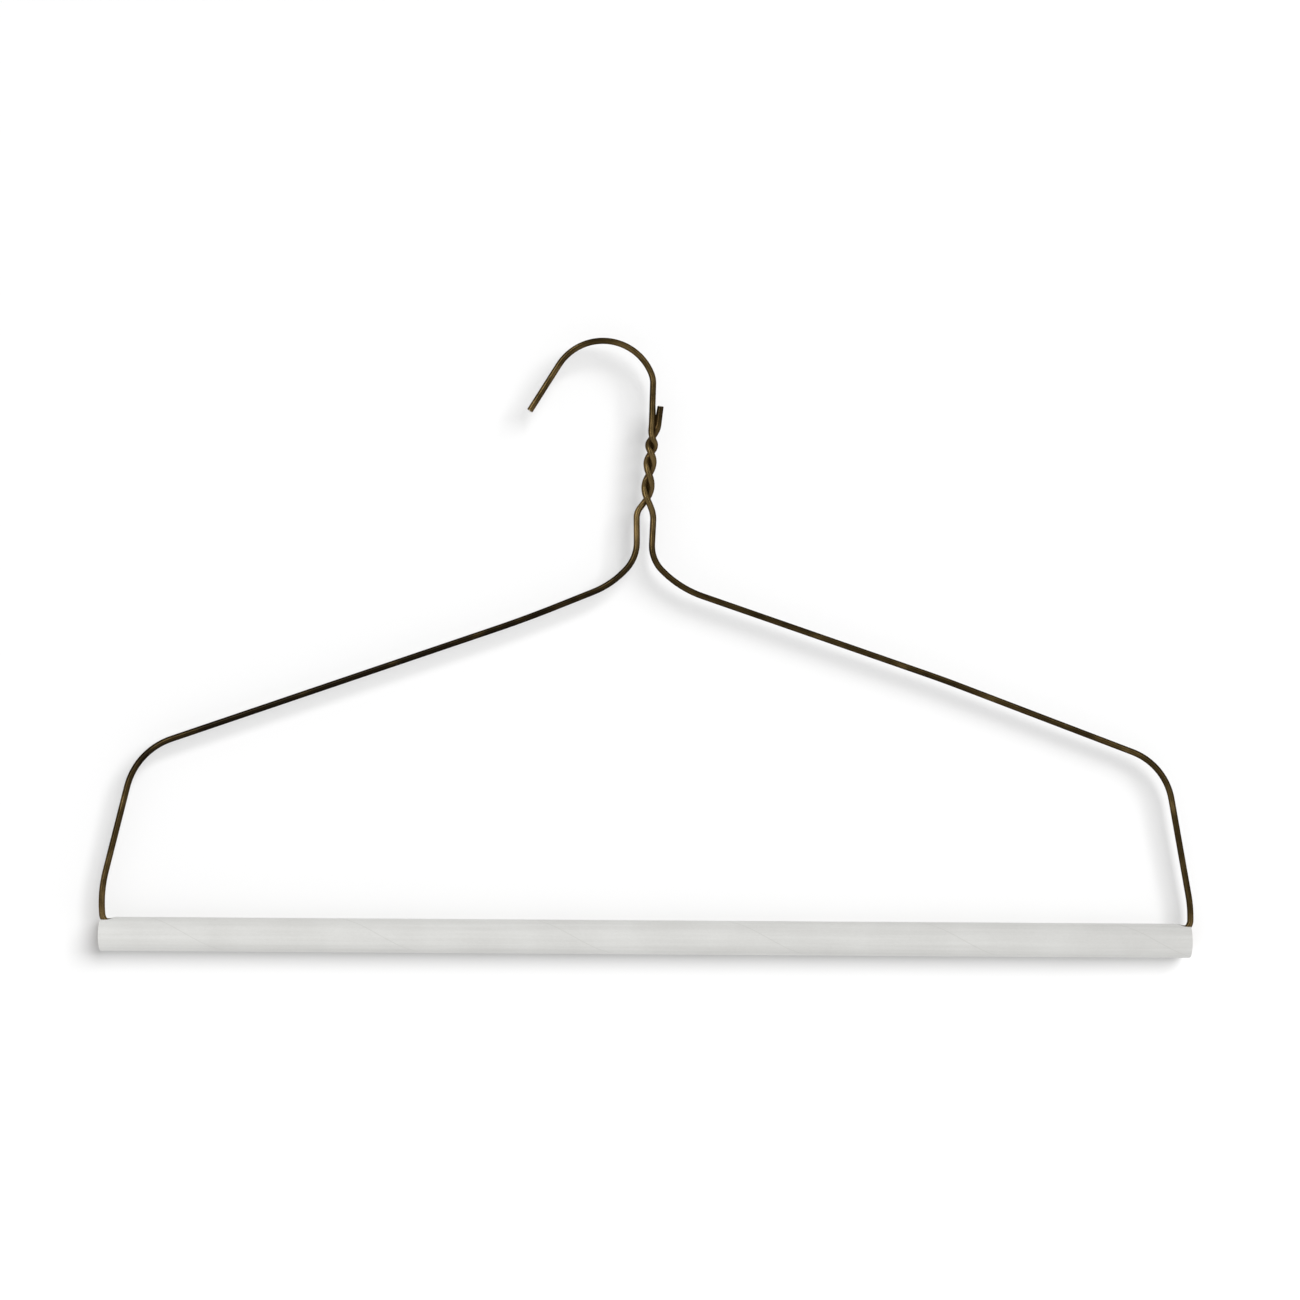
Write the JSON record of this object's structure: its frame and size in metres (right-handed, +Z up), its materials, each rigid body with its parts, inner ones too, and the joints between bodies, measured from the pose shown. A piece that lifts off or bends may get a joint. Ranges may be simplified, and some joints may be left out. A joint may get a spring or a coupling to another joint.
{
  "type": "trouser hanger",
  "caption": "Wire trouser hanger: two lacquered steel wires twisted below a hook, with legs that carry a straight paper tube as the bar.",
  "frame": {"origin": "inside of the hook's crown, at the wire's lower surface, where a round rail touches it", "axes": "+Z up, +X along the tube towards the side away from the hook's tip, -Y towards the viewer of the picture; the hanger lies in the XZ plane"},
  "size_m": [0.409, 0.0126, 0.2302],
  "materials": {
    "bronze_lacquered_steel": "thin bronze-coloured lacquer on drawn steel wire, semi-gloss",
    "kraft_board": "matt brown kraft board, spiral wound",
    "white_paper": "matt white paper ply"
  },
  "bodies": {
    "wire_frame": {"hook_wire": "bronze_lacquered_steel", "tail_wire": "bronze_lacquered_steel"},
    "tube": {"tube_core": "kraft_board", "tube_wrap": "white_paper"}
  },
  "joints": [
    {"name": "tube_rock", "type": "hinge", "parent": "wire_frame", "child": "tube", "pos_m": [0.0172, 0, -0.21781], "axis": [1, 0, 0], "range_deg": [-30, 30]}
  ]
}
